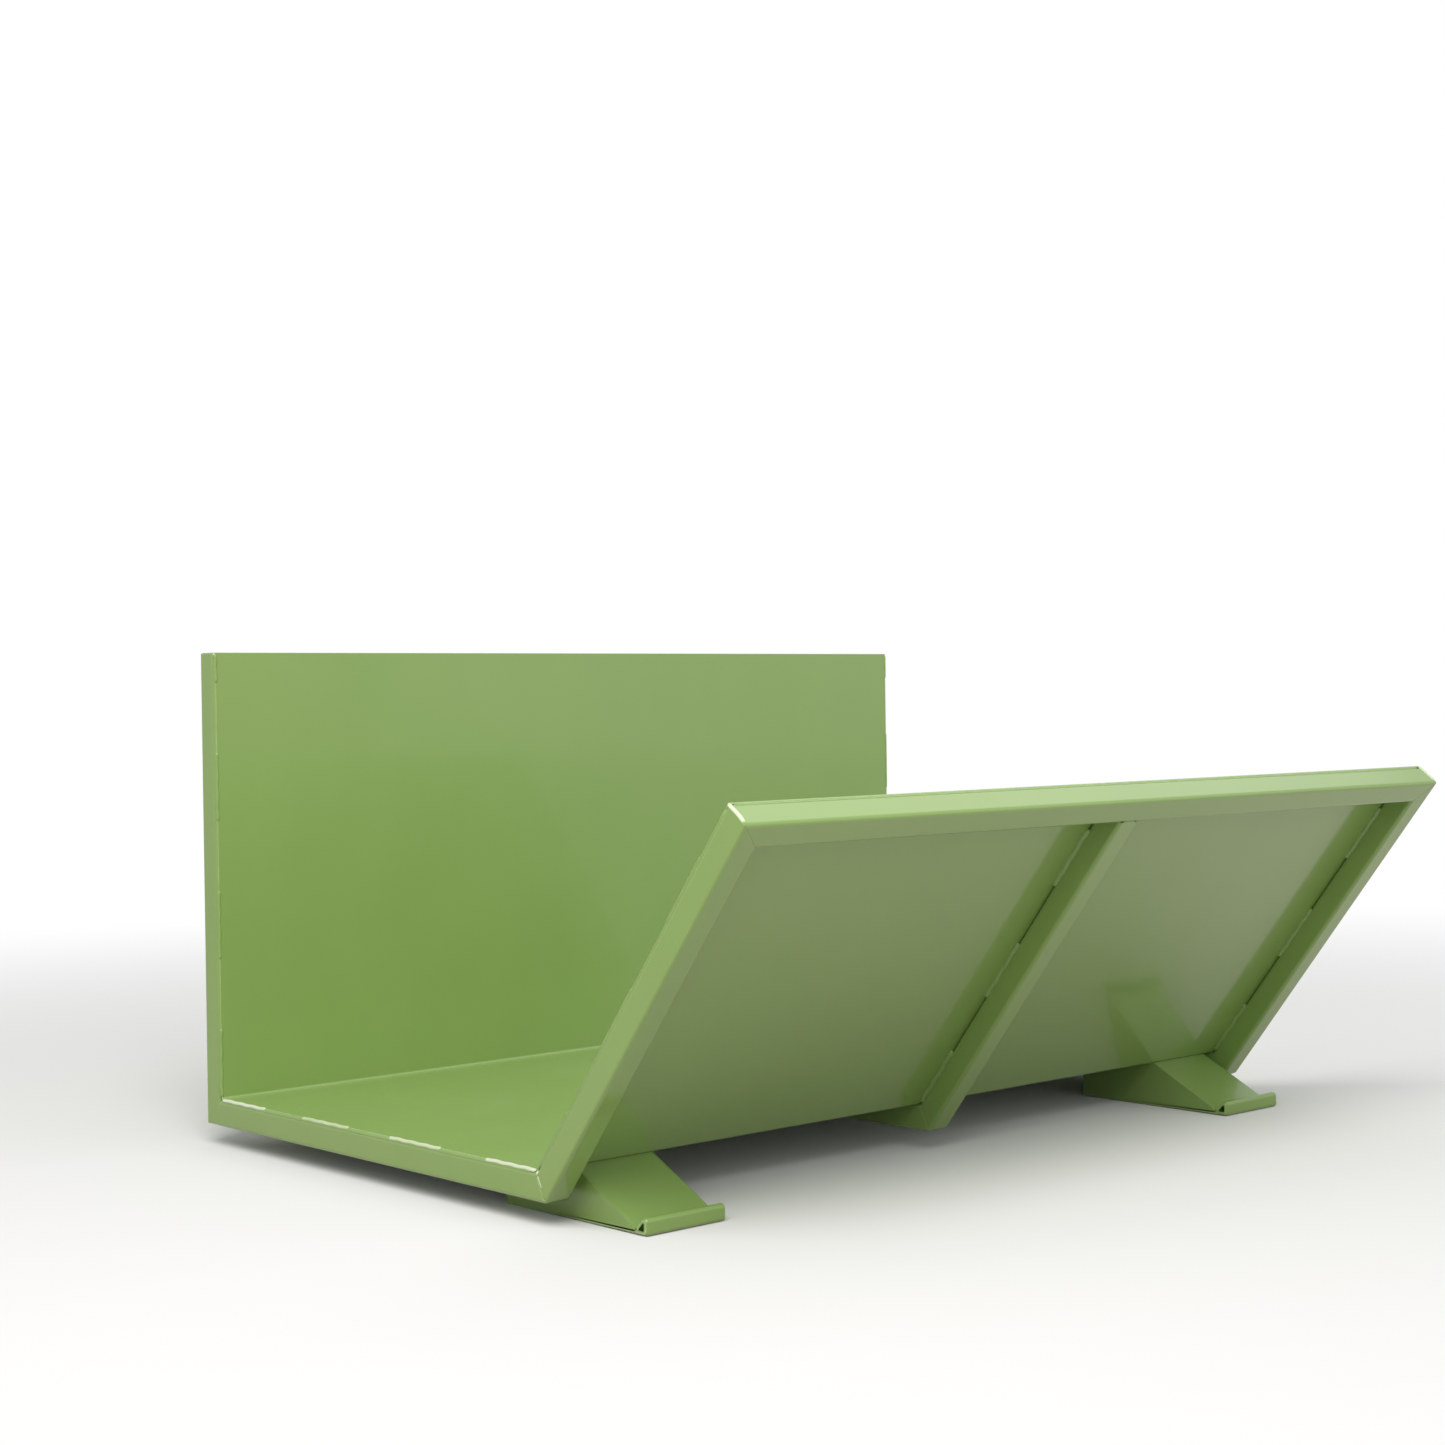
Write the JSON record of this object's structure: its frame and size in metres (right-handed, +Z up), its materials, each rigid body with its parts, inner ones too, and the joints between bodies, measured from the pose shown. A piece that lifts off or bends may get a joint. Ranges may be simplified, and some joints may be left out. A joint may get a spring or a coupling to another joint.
{
  "type": "forklift trough",
  "caption": "Open-ended trough carried on truck forks: folded sheet in a square-tube frame, upright back wall, slanted front wall, toe pockets for the fork tips and screw clamps at the rear.",
  "frame": {"origin": "middle of the footprint, level with the undersides of the toe pockets and claw feet", "axes": "+X along the trough towards its right-hand end, +Y to the back wall and the truck, +Z up"},
  "size_m": [1.5, 1.2652, 0.774],
  "materials": {
    "sheet_enamel": "glossy leaf-green enamel",
    "frame_enamel": "glossy leaf-green enamel",
    "toe_enamel": "glossy leaf-green enamel, scuffed underneath",
    "clamp_enamel": "glossy leaf-green enamel",
    "screw_zinc": "bright zinc plate",
    "pad_steel": "turned steel"
  },
  "bodies": {
    "trough": {"trough_sheet": "sheet_enamel", "left_back_tube": "frame_enamel", "left_floor_tube": "frame_enamel", "left_front_tube": "frame_enamel", "centre_back_tube": "frame_enamel", "centre_floor_tube": "frame_enamel", "centre_front_tube": "frame_enamel", "right_back_tube": "frame_enamel", "right_floor_tube": "frame_enamel", "right_front_tube": "frame_enamel", "back_top_tube": "frame_enamel", "front_top_tube": "frame_enamel", "left_toe_base": "toe_enamel", "left_toe_outer_side": "toe_enamel", "left_toe_inner_side": "toe_enamel", "left_toe_ramp": "toe_enamel", "right_toe_base": "toe_enamel", "right_toe_outer_side": "toe_enamel", "right_toe_inner_side": "toe_enamel", "right_toe_ramp": "toe_enamel", "left_fork_guide": "clamp_enamel", "left_claw_plate": "clamp_enamel", "left_claw_foot": "clamp_enamel", "left_clamp_nut": "clamp_enamel", "right_fork_guide": "clamp_enamel", "right_claw_plate": "clamp_enamel", "right_claw_foot": "clamp_enamel", "right_clamp_nut": "clamp_enamel"},
    "left_screw": {"left_clamp_screw": "screw_zinc"},
    "left_pad": {"left_clamp_pad": "pad_steel"},
    "right_screw": {"right_clamp_screw": "screw_zinc"},
    "right_pad": {"right_clamp_pad": "pad_steel"}
  },
  "joints": [
    {"name": "left_pad_slide", "type": "slide", "parent": "trough", "child": "left_pad", "axis": [-1, 0, 0], "range_m": [0, 0.022]},
    {"name": "left_screw_turn", "type": "hinge", "parent": "left_pad", "child": "left_screw", "pos_m": [-0.5355, 0.45963, 0.05], "axis": [-1, 0, 0], "range_deg": [0, 3961]},
    {"name": "right_pad_slide", "type": "slide", "parent": "trough", "child": "right_pad", "axis": [1, 0, 0], "range_m": [0, 0.022]},
    {"name": "right_screw_turn", "type": "hinge", "parent": "right_pad", "child": "right_screw", "pos_m": [0.5355, 0.45963, 0.05], "axis": [1, 0, 0], "range_deg": [0, 3961]}
  ],
  "couplings": [
    {"joint": "left_screw_turn", "follows": "left_pad_slide", "rad_per_m": 3141.6},
    {"joint": "right_screw_turn", "follows": "right_pad_slide", "rad_per_m": 3141.6}
  ]
}
